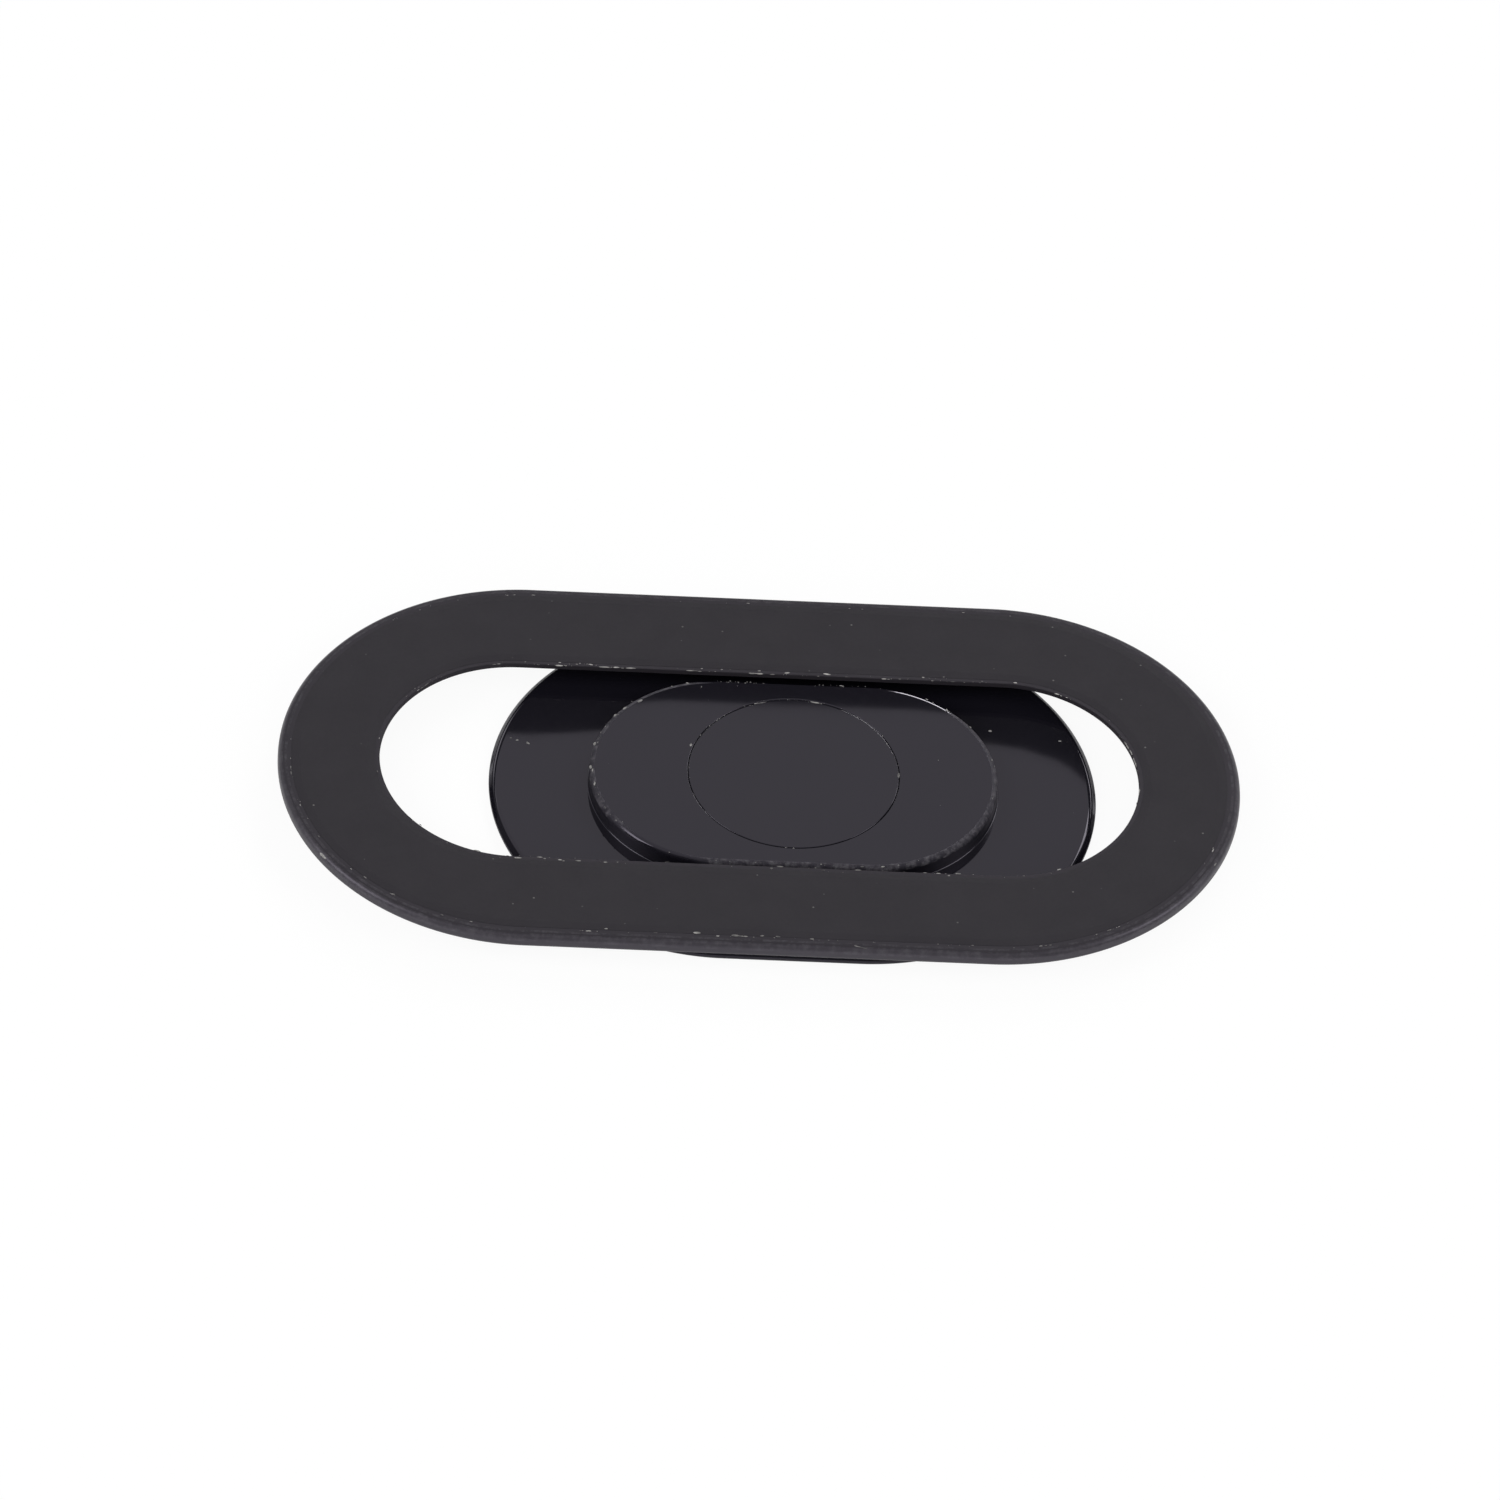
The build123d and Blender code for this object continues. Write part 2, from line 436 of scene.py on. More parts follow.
# Meshes and pieces

def plain_mesh(name, shape):
    """Turns a finished bmesh into a mesh."""
    mesh = bpy.data.meshes.new(name)
    shape.to_mesh(mesh)
    shape.free()
    return mesh


def add_object(name, data):
    """Adds an object with that mesh, lamp or camera to the scene."""
    made = bpy.data.objects.new(name, data)
    bpy.context.scene.collection.objects.link(made)
    return made


def outline(length, width):
    """Points round a bar with round ends, at even angles about its middle. Equal sides give a
    circle."""
    radius = width / 2
    reach = (length - width) / 2
    points = []
    for step in range(OUTLINE_POINTS):
        angle = 2 * math.pi * (step + 0.5) / OUTLINE_POINTS
        across, along = abs(math.sin(angle)), abs(math.cos(angle))
        distance = radius / across
        if distance * along > reach:
            distance = reach * along + math.sqrt(radius ** 2 - (reach * across) ** 2)
        points.append((distance * math.cos(angle), distance * math.sin(angle)))
    return points


def rounded(corners):
    """A section's path with rounded corners, as (out, height, wear). A corner is (out, height,
    radius), where out is measured outwards from an outline, or (out, height, radius, wear) where
    its round is worn. The first and the last are plain ends, as (out, height)."""
    path = [(*corners[0], UNTOUCHED)]
    for before, corner, after in zip(corners, corners[1:], corners[2:]):
        out, height, radius, wear = (*corner, UNTOUCHED)[:4]
        tip = Vector((out, height))
        back = (Vector(before[:2]) - tip).normalized()
        ahead = (Vector(after[:2]) - tip).normalized()
        half = back.angle(ahead) / 2
        tangent = radius / math.tan(half)
        centre = tip + (back + ahead).normalized() * radius / math.sin(half)
        start = tip + back * tangent - centre
        turn = start.angle_signed(tip + ahead * tangent - centre)
        path.append((*(tip + back * (tangent + SUPPORT)), UNTOUCHED))
        for step in range(CORNER_STEPS + 1):
            spoke = start.copy()
            spoke.rotate(Matrix.Rotation(-turn * step / CORNER_STEPS, 2))
            path.append((*(centre + spoke), wear))
        path.append((*(tip + ahead * (tangent + SUPPORT)), UNTOUCHED))
    return path + [(*corners[-1], UNTOUCHED)]


def swept_mesh(name, sections, middle_x, ring_shaped):
    """A closed mesh through loops round a bar with round ends. Each section is (length, width,
    corners). A ring joins its last loop to its first, and any other shape has a flat cap at both
    ends."""
    shape = bmesh.new()
    wear_layer = shape.verts.layers.float.new("wear")
    loops = []
    for length, width, corners in sections:
        for out, height, wear in rounded(corners):
            loop = [shape.verts.new((middle_x + x, y, height))
                    for x, y in outline(length + 2 * out, width + 2 * out)]
            for vertex in loop:
                vertex[wear_layer] = wear
            loops.append(loop)
    followers = loops[1:] + loops[:1] if ring_shaped else loops[1:]
    for loop, follower in zip(loops, followers):
        for i in range(OUTLINE_POINTS):
            j = (i + 1) % OUTLINE_POINTS
            shape.faces.new((loop[i], loop[j], follower[j], follower[i]))
    if not ring_shaped:
        shape.faces.new(loops[0])
        shape.faces.new(loops[-1])
    bmesh.ops.recalc_face_normals(shape, faces=shape.faces)
    for face in shape.faces:
        face.smooth = True
    return plain_mesh(name, shape)


def add_piece(name, mesh, material, body, nodes=()):
    """Shows a finished mesh as a piece that rides on a body and stands for nodes of the frame."""
    mesh.materials.append(material)
    piece = add_object(name, mesh)
    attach(piece, body)
    if nodes:
        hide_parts(*nodes)


def slot_size(ring):
    """Length and width of the ring's slot."""
    return RING_SIZE.x - 2 * ring.end_band, RING_SIZE.y - 2 * ring.side_band


def tape_hole_size(ring):
    """Length and width of the tape's hole, round the slot."""
    return [side + 2 * ring.tape_gap for side in slot_size(ring)]


def boss_size(ring, slider):
    """Length and width of the slider's boss."""
    return slider.boss_length, slot_size(ring)[1] - 2 * slider.boss_clearance


# Dust and marks

ARC_POINTS = 96  # on each quarter circle of the path that edge dust follows
SMALL_BIAS = 3.0  # power that makes most specks small
FLAT_SPECK = 0.4  # height of a speck on a face, as a share of its width
LEVEL_FACE = 0.98  # least upward part of the normal of a face that dust settles on
FACE_DENSITY = 8.0e4  # specks on a square metre of such faces
FACE_SEED = 7

EDGE_DUST = {
    # for each edge, the share of its places with a speck at the rear and at the front, the spread
    # to each side in millimetres, the longest stretch, the seed, and the size against other dust
    "slot": (0.30, 0.10, 0.02, 5.0, 1, 1.0),
    "tape_hole": (0.12, 0.04, 0.05, 3.0, 2, 1.0),
    "tape_edge": (0.06, 0.15, 0.04, 4.0, 3, 1.0),
    "boss": (0.30, 0.12, 0.04, 3.0, 5, 1.0),
    "seam": (0.80, 0.05, 0.05, 3.0, 6, 0.5),
}

# Single marks: middle, length, width and turn about Z, in millimetres and degrees
RING_MARKS_AND_GLINTS = (
    # The first mark, on the outer edge at the lower left, and the last, on the lower right edge,
    # are pale specks set where glints fall: painted highlights
    (-16.40, -5.52, 1.26, 0.40, 0.12, -54.0), (-2.30, -8.90, 1.36, 0.30, 0.10, 0.0),
    (-0.87, -8.96, 1.36, 0.28, 0.10, 0.0), (0.14, -8.92, 1.36, 0.16, 0.06, 8.0),
    (0.74, -8.93, 1.36, 0.18, 0.06, -6.0), (-5.71, -8.88, 1.36, 0.14, 0.06, 0.0),
    (2.01, -8.98, 1.36, 0.16, 0.06, 0.0), (3.80, -9.27, 1.33, 0.62, 0.04, -16.0),
    (-5.96, 5.21, 1.35, 0.42, 0.06, 0.0), (-4.94, 5.21, 1.35, 0.40, 0.07, 0.0),
    (-2.61, 5.21, 1.35, 0.45, 0.05, 0.0), (1.01, 5.30, 1.35, 0.22, 0.07, 10.0),
    (2.54, 5.32, 1.35, 0.30, 0.07, -8.0), (-9.07, -5.30, 1.36, 0.30, 0.06, 0.0),
    (-6.81, -5.33, 1.36, 0.22, 0.06, 0.0), (14.74, 0.50, 1.36, 0.14, 0.10, 60.0),
    (17.20, -4.05, 1.27, 0.30, 0.10, 64.0),
)
SLIDER_MARKS = (
    (-9.42, 2.06, 0.45, 0.10, 0.07, 0.0), (-9.19, 1.96, 0.45, 0.12, 0.08, 30.0),
    (-8.77, 1.82, 0.45, 0.16, 0.08, -40.0), (8.81, 3.51, 0.45, 0.14, 0.10, 0.0),
    (11.47, 3.12, 0.45, 0.12, 0.08, 0.0), (-6.26, 1.20, 1.16, 0.18, 0.10, 75.0),
    (-6.40, -0.06, 1.16, 0.18, 0.10, 90.0), (-4.57, 3.59, 1.19, 0.26, 0.12, 40.0),
    (-5.14, 3.18, 1.18, 0.20, 0.10, 48.0), (-5.50, 2.80, 1.16, 0.16, 0.09, 55.0),
    (-2.61, 1.31, 1.20, 0.14, 0.10, 70.0), (5.28, 0.14, 1.20, 0.26, 0.10, 90.0),
    (0.00, 3.75, 1.20, 0.50, 0.05, 15.0), (2.09, 3.90, 1.20, 0.36, 0.06, -10.0),
)


def new_tree(name, inputs):
    """A geometry tree and its input node. The inputs are names under their kind of socket."""
    tree = bpy.data.node_groups.new(name, "GeometryNodeTree")
    for kind, labels in inputs.items():
        for label in labels:
            tree.interface.new_socket(label, in_out="INPUT", socket_type=kind)
    tree.interface.new_socket("Geometry", in_out="OUTPUT", socket_type="NodeSocketGeometry")
    return tree, add_node(tree, "NodeGroupInput")


def bar_curve(tree, length, width):
    """Nodes for the outline of a bar with round ends: a rectangle with fully rounded corners."""
    half = add_node(tree, "ShaderNodeMath", {
        "Value": width, "Value_001": 0.5}, operation="MULTIPLY")
    rectangle = add_node(tree, "GeometryNodeCurvePrimitiveQuadrilateral", {
        "Width": length, "Height": width}, mode="RECTANGLE")
    return add_node(tree, "GeometryNodeFilletCurve", {
        "Curve": (rectangle, "Curve"), "Radius": (half, "Value"), "Count": ARC_POINTS},
        mode="POLY")


def set_specks(tree, given, points, rotation, stretch):
    """Nodes that set specks on points, most of them small, and end the tree in a plain mesh."""
    luck = add_node(tree, "FunctionNodeRandomValue", {"Seed": (given, "Seed")}, data_type="FLOAT")
    mostly_small = add_node(tree, "ShaderNodeMath", {
        "Value": (luck, "Value_001"), "Value_001": SMALL_BIAS}, operation="POWER")
    size = add_node(tree, "ShaderNodeMapRange", {
        "Value": (mostly_small, "Value"), "To Min": (given, "Smallest"),
        "To Max": (given, "Largest")})
    stretched = add_node(tree, "ShaderNodeMath", {
        "Value": (size, "Result"), "Value_001": stretch}, operation="MULTIPLY")
    scale = add_node(tree, "ShaderNodeCombineXYZ", {
        "X": (size, "Result"), "Y": (size, "Result"), "Z": (stretched, "Value")})
    speck = add_node(tree, "GeometryNodeMeshIcoSphere", {"Radius": 1.0, "Subdivisions": 1})
    instances = add_node(tree, "GeometryNodeInstanceOnPoints", {
        "Points": points, "Instance": (speck, "Mesh"), "Rotation": rotation,
        "Scale": (scale, "Vector")})
    real = add_node(tree, "GeometryNodeRealizeInstances", {"Geometry": (instances, "Instances")})
    done = add_node(tree, "GeometryNodeSetMaterial", {
        "Geometry": (real, "Geometry"), "Material": (given, "Material")})
    add_node(tree, "NodeGroupOutput", {"Geometry": (done, "Geometry")})


def edge_specks_tree():
    """Specks strewn in loose clusters along the edge of a bar with round ends."""
    tree, given = new_tree("specks_along_an_edge", {
        "NodeSocketFloat": ("Length", "Width", "Spacing", "Rear Share", "Front Share", "Spread",
                            "Smallest", "Largest", "Stretch"),
        "NodeSocketVector": ("Middle",), "NodeSocketInt": ("Seed",),
        "NodeSocketMaterial": ("Material",)})
    curve = bar_curve(tree, (given, "Length"), (given, "Width"))
    points = add_node(tree, "GeometryNodeCurveToPoints", {
        "Curve": (curve, "Curve"), "Length": (given, "Spacing")}, mode="LENGTH")
    place = add_node(tree, "GeometryNodeInputPosition")
    cluster = add_node(tree, "ShaderNodeTexNoise", {
        "Vector": (place, "Position"), "W": (given, "Seed"), "Scale": features(1.5),
        "Detail": 2.0}, noise_dimensions="4D")
    crowd = add_node(tree, "ShaderNodeMapRange", {
        "Value": (cluster, "Fac"), "From Min": 0.42, "From Max": 0.68,
        "To Min": 0.0, "To Max": 2.0})
    side = add_node(tree, "ShaderNodeSeparateXYZ", {"Vector": (place, "Position")})
    share = add_node(tree, "ShaderNodeMapRange", {
        "Value": (side, "Y"), "From Min": -1.0 * MM, "From Max": 1.0 * MM,
        "To Min": (given, "Front Share"), "To Max": (given, "Rear Share")})
    chance = add_node(tree, "ShaderNodeMath", {
        "Value": (crowd, "Result"), "Value_001": (share, "Result")}, operation="MULTIPLY")
    kept = add_node(tree, "FunctionNodeRandomValue", {
        "Probability": (chance, "Value"), "Seed": (given, "Seed")}, data_type="BOOLEAN")
    spare = add_node(tree, "FunctionNodeBooleanMath", {
        "Boolean": (kept, "Value_003")}, operation="NOT")
    few = add_node(tree, "GeometryNodeDeleteGeometry", {
        "Geometry": (points, "Points"), "Selection": (spare, "Boolean")}, domain="POINT")
    stray = add_node(tree, "FunctionNodeRandomValue", {
        "Min": (-1.0, -1.0, 0.0), "Max": (1.0, 1.0, 0.0), "Seed": (given, "Seed")},
        data_type="FLOAT_VECTOR")
    offset = add_node(tree, "ShaderNodeVectorMath", {
        "Vector": (stray, "Value"), "Scale": (given, "Spread")}, operation="SCALE")
    moved = add_node(tree, "ShaderNodeVectorMath", {
        "Vector": (offset, "Vector"), "Vector_001": (given, "Middle")}, operation="ADD")
    strewn = add_node(tree, "GeometryNodeSetPosition", {
        "Geometry": (few, "Geometry"), "Offset": (moved, "Vector")})
    stretch = add_node(tree, "FunctionNodeRandomValue", {
        "Min_001": 1.0, "Max_001": (given, "Stretch"), "Seed": (given, "Seed"), "ID": 1},
        data_type="FLOAT")
    set_specks(tree, given, (strewn, "Geometry"), (points, "Rotation"), (stretch, "Value_001"))
    return tree


def face_specks_tree():
    """Specks strewn over the upward faces of a mesh."""
    tree, given = new_tree("specks_on_a_face", {
        "NodeSocketGeometry": ("Mesh",), "NodeSocketFloat": ("Density", "Smallest", "Largest"),
        "NodeSocketInt": ("Seed",), "NodeSocketMaterial": ("Material",)})
    normal = add_node(tree, "GeometryNodeInputNormal")
    lean = add_node(tree, "ShaderNodeSeparateXYZ", {"Vector": (normal, "Normal")})
    level = add_node(tree, "FunctionNodeCompare", {
        "A": (lean, "Z"), "B": LEVEL_FACE}, data_type="FLOAT", operation="GREATER_THAN")
    points = add_node(tree, "GeometryNodeDistributePointsOnFaces", {
        "Mesh": (given, "Mesh"), "Selection": (level, "Result"), "Density": (given, "Density"),
        "Seed": (given, "Seed")}, distribute_method="RANDOM")
    set_specks(tree, given, (points, "Points"), (points, "Rotation"), FLAT_SPECK)
    return tree


def grown_mesh(tree, values, start=None):
    """The plain mesh that a geometry tree makes from its inputs, on a starting mesh or on none."""
    holder = add_object(tree.name, start or bpy.data.meshes.new(tree.name))
    modifier = holder.modifiers.new(tree.name, "NODES")
    modifier.node_group = tree
    for item in tree.interface.items_tree:
        if item.name in values:
            modifier[item.identifier] = values[item.name]
    graph = bpy.context.evaluated_depsgraph_get()
    mesh = bpy.data.meshes.new_from_object(holder.evaluated_get(graph), depsgraph=graph)
    bpy.data.objects.remove(holder)
    return mesh


def edge_dust(tree, dust, material, edge, size, middle):
    """Dust along one of the listed edges, which goes round a bar of that size."""
    rear, front, spread, stretch, seed, fineness = EDGE_DUST[edge]
    return grown_mesh(tree, {
        "Length": size[0], "Width": size[1], "Middle": middle, "Spacing": dust.spacing,
        "Rear Share": rear, "Front Share": front, "Spread": spread * MM, "Stretch": stretch,
        "Smallest": dust.smallest * fineness, "Largest": dust.largest * fineness,
        "Seed": dust.seed + seed, "Material": material})


def face_dust(tree, dust, material, mesh):
    """Dust on the upward faces of a mesh."""
    return grown_mesh(tree, {
        "Density": FACE_DENSITY, "Smallest": dust.smallest, "Largest": dust.largest,
        "Seed": dust.seed + FACE_SEED, "Material": material}, mesh)


def marks_mesh(marks):
    """Single specks and chips, and two pale specks that are painted highlights, each a small flat
    lens.
    """
    shape = bmesh.new()
    for x, y, z, length, width, turn in marks:
        middle = Matrix.Translation(Vector((x, y, z)) * MM)
        turned = Matrix.Rotation(math.radians(turn), 4, "Z")
        size = Matrix.Diagonal((length / 2 * MM, width / 2 * MM, width / 4 * MM, 1.0))
        bmesh.ops.create_icosphere(shape, subdivisions=2, radius=1.0,
                                   matrix=middle @ turned @ size)
    return plain_mesh("marks", shape)


def joined_mesh(name, meshes):
    """Several meshes as one."""
    shape = bmesh.new()
    for mesh in meshes:
        shape.from_mesh(mesh)
    return plain_mesh(name, shape)


# Stage

TABLE_REACH = 1.5  # from the middle to the table's sides, in metres
TABLE_DROP = 0.02 * MM  # keeps the table clear of the slider's front
TABLE_SEEN = 0.93  # share of plain white in what the camera sees of the table
TABLE_MIRRORED = 0.15  # share of plain white in what a gloss mirrors of it

CARD = (
    # along and up in millimetres, from the point whose mirror image is the card line on the plate
    (-40.0, -6.0), (-6.0, -6.0), (-6.0, -20.0), (6.5, -20.0), (6.5, -6.0), (40.0, -6.0),
    (40.0, 3.0), (15.0, 2.2), (14.15, 1.4), (13.6, 0.8), (12.9, 0.3), (11.6, -0.2), (10.4, -0.4),
    (7.3, -0.65), (-2.7, -0.6), (-5.75, -0.2), (-8.1, 0.1), (-40.0, 0.3),
)

LIGHTS = (
    # name, azimuth and elevation in degrees, distance and size in metres, watts, whether mirrored
    ("left_softbox", -80.0, 33.0, 0.6, 0.32, 1.4, True),
    ("rear_left_softbox", -150.0, 28.0, 0.6, 0.20, 0.12, True),
    ("rear_right_softbox", 166.0, 22.0, 0.6, 0.16, 0.9, True),
    ("right_softbox", 146.0, 33.0, 0.6, 0.25, 0.8, True),
    ("right_front_softbox", 80.0, 33.0, 0.6, 0.32, 1.2, True),
    ("front_fill", -15.0, 24.0, 0.7, 0.8, 4.8, False),
)

ROOM_FADES = (
    # axis of a mirrored direction, two places along it, and the share of white left at each
    ("X", 0.2, 0.7, 1.0, 0.2),
    ("X", -0.75, -0.62, 0.15, 1.0),
    ("Y", -0.6, -0.2, 0.15, 1.0),
)


def towards(azimuth, elevation):
    """The direction from the object to a place at an azimuth from its front and an elevation."""
    level = math.cos(elevation)
    return Vector((math.sin(azimuth) * level, -math.cos(azimuth) * level, math.sin(elevation)))


def light_path(tree):
    """Nodes for the kind of ray, and for whether the camera sees the place, also through glass."""
    path = add_node(tree, "ShaderNodeLightPath")
    seen = add_node(tree, "ShaderNodeMath", {
        "Value": (path, "Is Camera Ray"), "Value_001": (path, "Is Transmission Ray")},
        operation="MAXIMUM")
    return path, seen


def flat_card(name, corners, material):
    """A flat piece of the stage, through its corners."""
    mesh = bpy.data.meshes.new(name)
    mesh.from_pydata(corners, [], [range(len(corners))])
    mesh.materials.append(material)
    card = add_object(name, mesh)
    return card


def lay_table():
    """A white table top, which shows as white with a light shadow."""
    material, tree = new_material("white_table")
    path, seen = light_path(tree)
    mirrored = add_node(tree, "ShaderNodeMath", {
        "Value": (path, "Is Glossy Ray"), "Value_001": TABLE_MIRRORED}, operation="MULTIPLY")
    share = add_node(tree, "ShaderNodeMix", {
        "Factor_Float": (seen, "Value"), "A_Float": (mirrored, "Value"), "B_Float": TABLE_SEEN},
        data_type="FLOAT")
    matte = add_node(tree, "ShaderNodeBsdfDiffuse", {"Color": linear("#f8f8f8")})
    white = add_node(tree, "ShaderNodeEmission", {"Color": linear("#ffffff"), "Strength": 1.0})
    mixed = add_node(tree, "ShaderNodeMixShader", {
        "Fac": (share, "Result_Float"), "Shader": (matte, "BSDF"),
        "Shader_001": (white, "Emission")})
    add_node(tree, "ShaderNodeOutputMaterial", {"Surface": (mixed, "Shader")})
    flat_card("table", [(x * TABLE_REACH, y * TABLE_REACH, -TABLE_DROP)
                        for x, y in ((-1, -1), (1, -1), (1, 1), (-1, 1))], material)


def stand_card(stage, plate_thickness):
    """A dark card behind the object, which shows only as dark bands mirrored in its gloss."""
    material, tree = new_material("black_card")
    matte = add_node(tree, "ShaderNodeBsdfDiffuse", {"Color": linear("#404040")})
    add_node(tree, "ShaderNodeOutputMaterial", {"Surface": (matte, "BSDF")})
    away = stage.card_distance
    top = plate_thickness + (away - stage.card_line) * math.tan(stage.elevation)
    card = flat_card("card", [(x * MM, away, top + z * MM) for x, z in CARD], material)
    card.visible_camera = False
    card.visible_diffuse = False
    card.visible_shadow = False
    card.visible_transmission = False


def hang_lights():
    """Softboxes round the object, aimed at its middle."""
    for name, azimuth, elevation, distance, size, power, mirrored in LIGHTS:
        back = towards(math.radians(azimuth), math.radians(elevation))
        lamp = bpy.data.lights.new(name, "AREA")
        lamp.size = size
        lamp.energy = power
        light = add_object(name, lamp)
        light.location = back * distance
        light.rotation_euler = back.to_track_quat("Z", "Y").to_euler()
        light.visible_glossy = mirrored


def set_world(scene, stage):
    """White where it shows, softer as light, and mirrored as white that dims overhead, aside and
    in front."""
    world = bpy.data.worlds.new("white_room")
    world.use_nodes = True
    tree = world.node_tree
    tree.nodes.clear()
    place = add_node(tree, "ShaderNodeTexCoord")
    heading = add_node(tree, "ShaderNodeSeparateXYZ", {"Vector": (place, "Generated")})
    mirrored = 1.0
    for axis, start, end, start_share, end_share in (
            *ROOM_FADES, ("Z", 0.0, 1.0, 1.0, stage.overhead)):
        fade = add_node(tree, "ShaderNodeMapRange", {
            "Value": (heading, axis), "From Min": start, "From Max": end,
            "To Min": start_share, "To Max": end_share})
        dimmed = add_node(tree, "ShaderNodeMath", {
            "Value": mirrored, "Value_001": (fade, "Result")}, operation="MULTIPLY")
        mirrored = (dimmed, "Value")
    path, seen = light_path(tree)
    lit = add_node(tree, "ShaderNodeMix", {
        "Factor_Float": (path, "Is Glossy Ray"), "A_Float": stage.ambient, "B_Float": mirrored},
        data_type="FLOAT")
    strength = add_node(tree, "ShaderNodeMix", {
        "Factor_Float": (seen, "Value"), "A_Float": (lit, "Result_Float"), "B_Float": 1.0},
        data_type="FLOAT")
    white = add_node(tree, "ShaderNodeBackground", {
        "Color": linear("#ffffff"), "Strength": (strength, "Result_Float")})
    add_node(tree, "ShaderNodeOutputWorld", {"Surface": (white, "Background")})
    scene.world = world


def set_camera(scene, stage):
    """A long lens at the photograph's angle."""
    azimuth, roll = stage.azimuth, stage.roll
    back = towards(azimuth, stage.elevation)
    level = Vector((math.cos(azimuth), math.sin(azimuth), 0.0))
    upright = back.cross(level)
    right = level * math.cos(roll) + upright * math.sin(roll)
    up = upright * math.cos(roll) - level * math.sin(roll)
    lens = bpy.data.cameras.new("camera")
    lens.sensor_width = 36.0
    lens.lens = lens.sensor_width * stage.distance / (PICTURE_PIXELS / PIXELS_PER_MM * MM)
    lens.clip_start, lens.clip_end = 0.05, 10.0
    camera = add_object("camera", lens)
    ring_middle = Vector((0.0, 0.0, RING_HIGH.z))
    eye = ring_middle + back * stage.distance - right * stage.aside + up * stage.below
    turn = Matrix((right, up, back)).transposed().to_4x4()
    camera.matrix_world = Matrix.Translation(eye) @ turn
    scene.camera = camera


# Operators

class WEBCAM_COVER_OT_ring(bpy.types.Operator):
    """Build the painted steel ring with its flared slot"""
    bl_idname = "webcam_cover.ring"
    bl_label = "Steel ring"

    def execute(self, context):
        settings = context.scene.webcam_cover
        ring = settings.ring
        front, back = RING_LOW.z, RING_HIGH.z
        land = back - ring.slot_land
        flat = FLAT_REACH * ring.front_edge
        outside = [
            (-flat, back), (-ring.back_roll, back, ring.soft_edge, RIM_WEAR),
            (0, back - ring.back_drop, ring.roll_edge, RIM_WEAR), (0, front, ring.front_edge),
            (-flat, front)]
        slot = [
            (ring.slot_bevel + flat, front), (ring.slot_bevel, front, ring.crisp_edge),
            (0, land, ring.crisp_edge), (0, back, ring.crisp_edge, SLOT_WEAR), (flat, back)]
        mesh = swept_mesh("steel_ring", [
            (RING_SIZE.x, RING_SIZE.y, outside), (*slot_size(ring), slot)], 0.0, ring_shaped=True)
        add_piece("steel_ring", mesh, matte_steel_paint(settings.finish), "frame_body",
                  ["frame"])
        return {"FINISHED"}


class WEBCAM_COVER_OT_tape(bpy.types.Operator):
    """Lay the ring of adhesive tape on the back of the steel ring"""
    bl_idname = "webcam_cover.tape"
    bl_label = "Adhesive tape"

    def execute(self, context):
        settings = context.scene.webcam_cover
        ring = settings.ring
        low, high, slope = TAPE_LOW.z, TAPE_HIGH.z, ring.tape_slope
        # Radius at the top of the slope, radius of its thin edge, and reach onto the flat faces
        soft, thin, flat = 1.5 * slope, 0.012 * slope, 3 * slope
        outside = [(-flat, high), (-slope, high, soft), (0, low, thin), (-flat, low)]
        inside = [(flat, low), (0, low, thin), (slope, high, soft), (flat, high)]
        mesh = swept_mesh("tape_ring", [
            (TAPE_SIZE.x, TAPE_SIZE.y, outside), (*tape_hole_size(ring), inside)], 0.0,
            ring_shaped=True)
        add_piece("tape_ring", mesh, adhesive_tape(settings.finish), "frame_body",
                  ["adhesive_ring"])
        return {"FINISHED"}


class WEBCAM_COVER_OT_slider(bpy.types.Operator):
    """Build the glossy shutter plate and its boss, with the magnet's pocket"""
    bl_idname = "webcam_cover.slider"
    bl_label = "Slider"

    def execute(self, context):
        settings = context.scene.webcam_cover
        slider = settings.slider
        front, back, top, floor = 0.0, slider.plate_thickness, SLIDER_HIGH.z, MAGNET_LOW.z
        chamfer, soft = slider.plate_back_chamfer, slider.plate_back_edge
        crisp, shoulder, root = slider.crisp_edge, slider.boss_edge, slider.boss_root
        flat = FLAT_REACH * chamfer
        plate = [(-flat, front), (0, front, slider.plate_front_edge),
                 (0, back - chamfer, 2 * crisp), (-chamfer, back, soft), (-flat, back)]
        boss = [(3 * root, back), (0, back, root), (0, top, shoulder, BOSS_WEAR),
                (-3 * shoulder, top)]
        pocket = [(FLAT_REACH * crisp, top), (0, top, crisp), (0, floor, crisp), (-flat, floor)]
        pocket_width = MAGNET_SIZE.x + 2 * slider.pocket_clearance
        mesh = swept_mesh("slider", [
            (SLIDER_SIZE.x, SLIDER_SIZE.y, plate), (*boss_size(settings.ring, slider), boss),
            (pocket_width, pocket_width, pocket)], SLIDER_X, ring_shaped=False)
        add_piece("slider", mesh, moulded_abs(settings.finish), "slider_body",
                  ["slider_cover"])
        return {"FINISHED"}


class WEBCAM_COVER_OT_magnet(bpy.types.Operator):
    """Build the disc magnet that is let into the boss"""
    bl_idname = "webcam_cover.magnet"
    bl_label = "Disc magnet"

    def execute(self, context):
        settings = context.scene.webcam_cover
        edge = settings.slider.magnet_edge
        low, high = MAGNET_LOW.z, MAGNET_HIGH.z
        flat = FLAT_REACH * edge
        disc = [(-flat, low), (0, low, edge), (0, high, edge), (-flat, high)]
        mesh = swept_mesh("disc_magnet", [(MAGNET_SIZE.x, MAGNET_SIZE.x, disc)], SLIDER_X,
                          ring_shaped=False)
        add_piece("disc_magnet", mesh, epoxy_coat(settings.finish), "slider_body",
                  ["magnet_disc"])
        return {"FINISHED"}


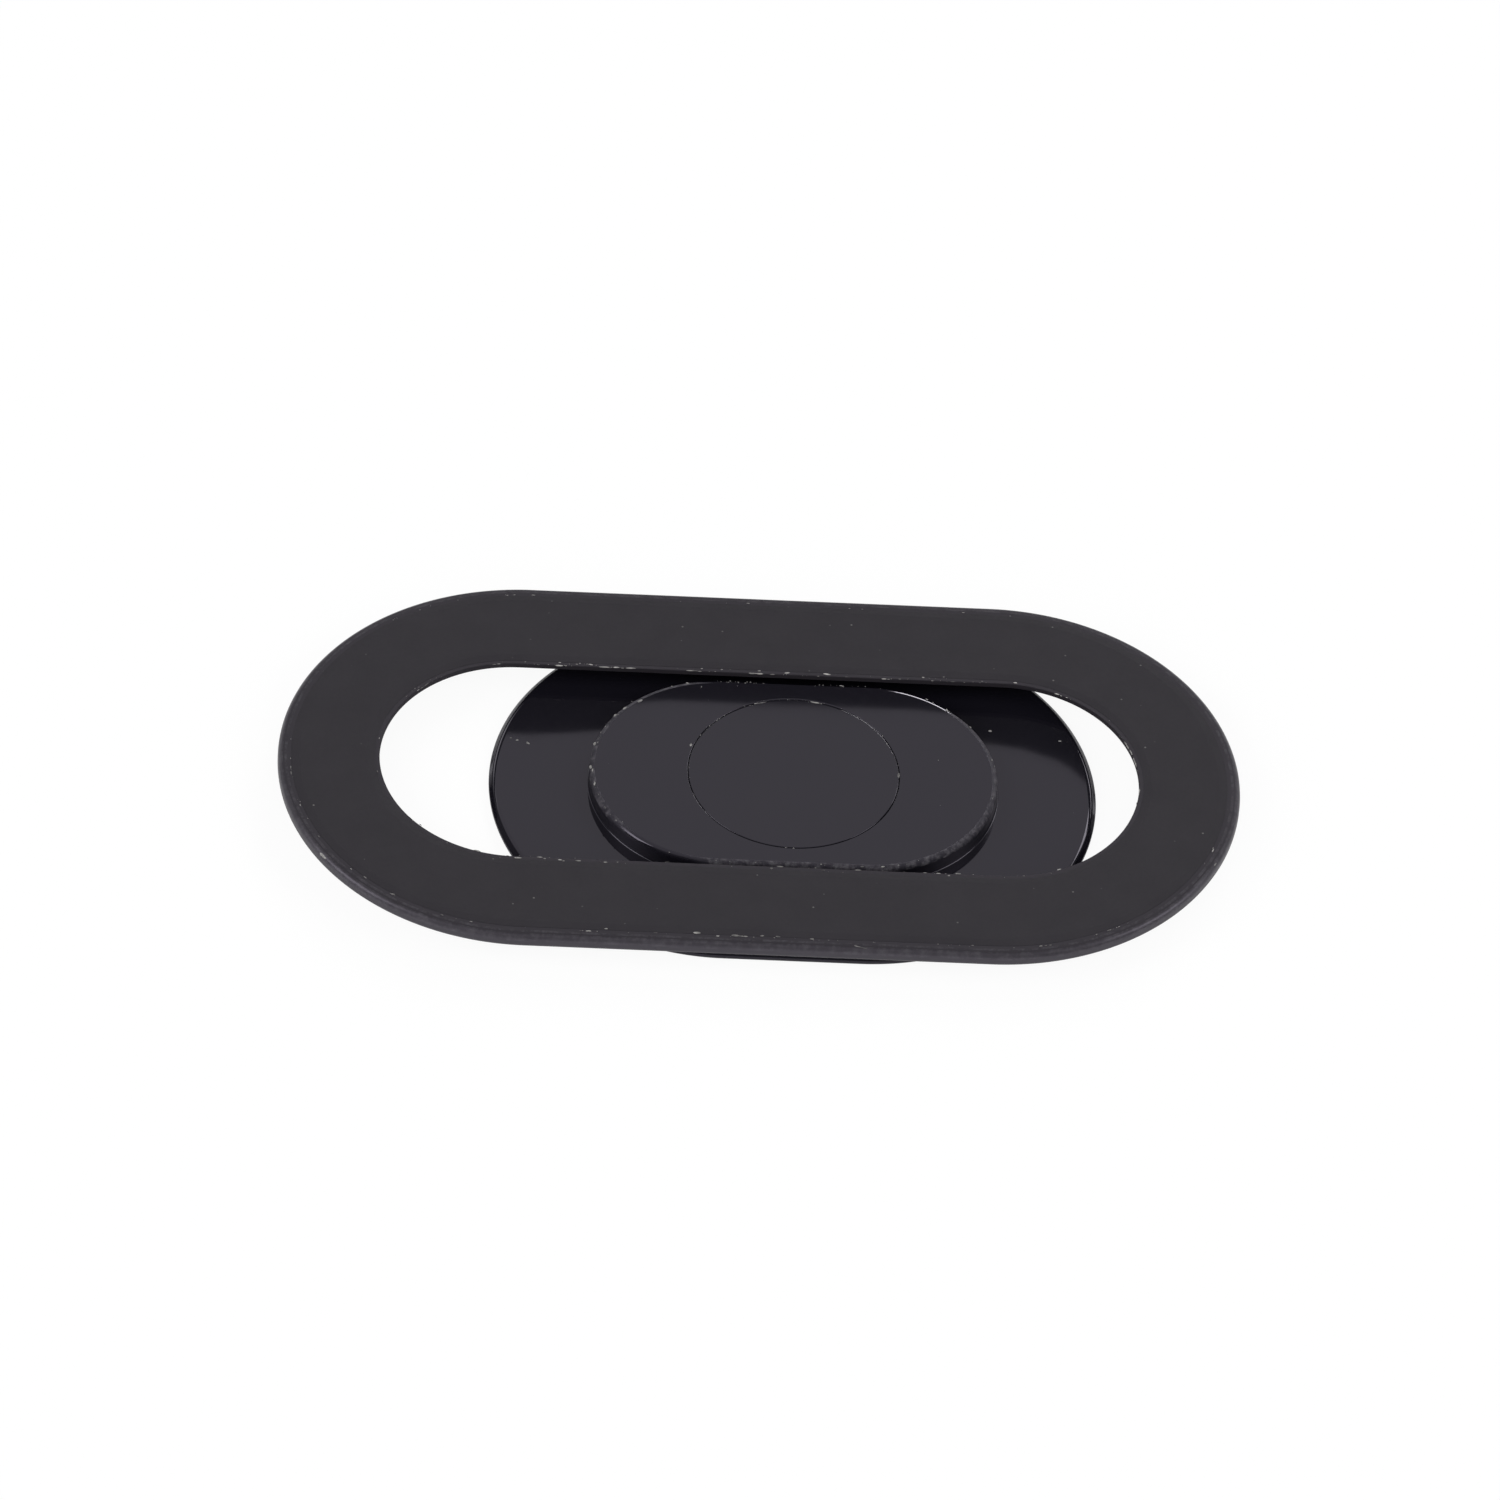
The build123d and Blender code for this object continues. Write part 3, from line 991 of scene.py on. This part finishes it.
class WEBCAM_COVER_OT_dust(bpy.types.Operator):
    """Strew dust along the edges and over the faces, and place the larger marks"""
    bl_idname = "webcam_cover.dust"
    bl_label = "Dust"

    def execute(self, context):
        settings = context.scene.webcam_cover
        ring, slider, dust = settings.ring, settings.slider, settings.dust
        material = lint_dust_and_glints(settings.finish)
        along, over = edge_specks_tree(), face_specks_tree()
        ring_back, boss_top = (0, 0, RING_HIGH.z), (SLIDER_X, 0, SLIDER_HIGH.z)
        shoulder = [side - slider.boss_edge for side in boss_size(ring, slider)]
        seam = (MAGNET_SIZE.x, MAGNET_SIZE.x)
        ring_specks_and_glints = joined_mesh("ring_dust_and_glints", [
            edge_dust(along, dust, material, "slot", slot_size(ring), ring_back),
            edge_dust(along, dust, material, "tape_hole", tape_hole_size(ring), ring_back),
            edge_dust(along, dust, material, "tape_edge", TAPE_SIZE[:2], ring_back),
            # The ring's marks include two pale specks that are painted highlights
            marks_mesh(RING_MARKS_AND_GLINTS)])
        slider_specks = joined_mesh("slider_dust", [
            edge_dust(along, dust, material, "boss", shoulder, boss_top),
            edge_dust(along, dust, material, "seam", seam, boss_top),
            face_dust(over, dust, material, bpy.data.objects["slider"].data),
            marks_mesh(SLIDER_MARKS)])
        add_piece("ring_dust_and_glints", ring_specks_and_glints, material, "frame_body")
        add_piece("slider_dust", slider_specks, material, "slider_body")
        return {"FINISHED"}


class WEBCAM_COVER_OT_stage(bpy.types.Operator):
    """Set the white table, the dark card, the soft light and the camera"""
    bl_idname = "webcam_cover.stage"
    bl_label = "Stage"

    def execute(self, context):
        settings = context.scene.webcam_cover
        lay_table()
        stand_card(settings.stage, settings.slider.plate_thickness)
        hang_lights()
        set_world(context.scene, settings.stage)
        set_camera(context.scene, settings.stage)
        context.scene.view_settings.view_transform = "Standard"
        return {"FINISHED"}


# Panel and registration

OPERATORS = (WEBCAM_COVER_OT_ring, WEBCAM_COVER_OT_tape, WEBCAM_COVER_OT_slider,
             WEBCAM_COVER_OT_magnet, WEBCAM_COVER_OT_dust, WEBCAM_COVER_OT_stage)


class WEBCAM_COVER_PT_panel(bpy.types.Panel):
    """The cover's operators and settings"""
    bl_idname = "WEBCAM_COVER_PT_panel"
    bl_label = "Webcam cover"
    bl_space_type = "VIEW_3D"
    bl_region_type = "UI"
    bl_category = "Webcam cover"

    def draw(self, context):
        """Lists the operators, then each group of settings in a box."""
        settings = context.scene.webcam_cover
        for operator in OPERATORS:
            self.layout.operator(operator.bl_idname)
        for group in (settings.ring, settings.slider, settings.finish, settings.dust,
                      settings.stage):
            box = self.layout.box()
            for name in group.__annotations__:
                box.prop(group, name)


CLASSES = (RingSettings, SliderSettings, FinishSettings, DustSettings, StageSettings,
           CoverSettings, *OPERATORS, WEBCAM_COVER_PT_panel)


def register():
    """Adds the classes, and the settings to the scene."""
    for item in CLASSES:
        bpy.utils.register_class(item)
    bpy.types.Scene.webcam_cover = PointerProperty(type=CoverSettings)


def unregister():
    """Takes the settings and the classes away again."""
    del bpy.types.Scene.webcam_cover
    for item in reversed(CLASSES):
        bpy.utils.unregister_class(item)


def main():
    """Builds the cover and its stage."""
    register()
    bpy.ops.webcam_cover.ring()
    bpy.ops.webcam_cover.tape()
    bpy.ops.webcam_cover.slider()
    bpy.ops.webcam_cover.magnet()
    bpy.ops.webcam_cover.dust()
    bpy.ops.webcam_cover.stage()


if __name__ == "__main__":
    main()
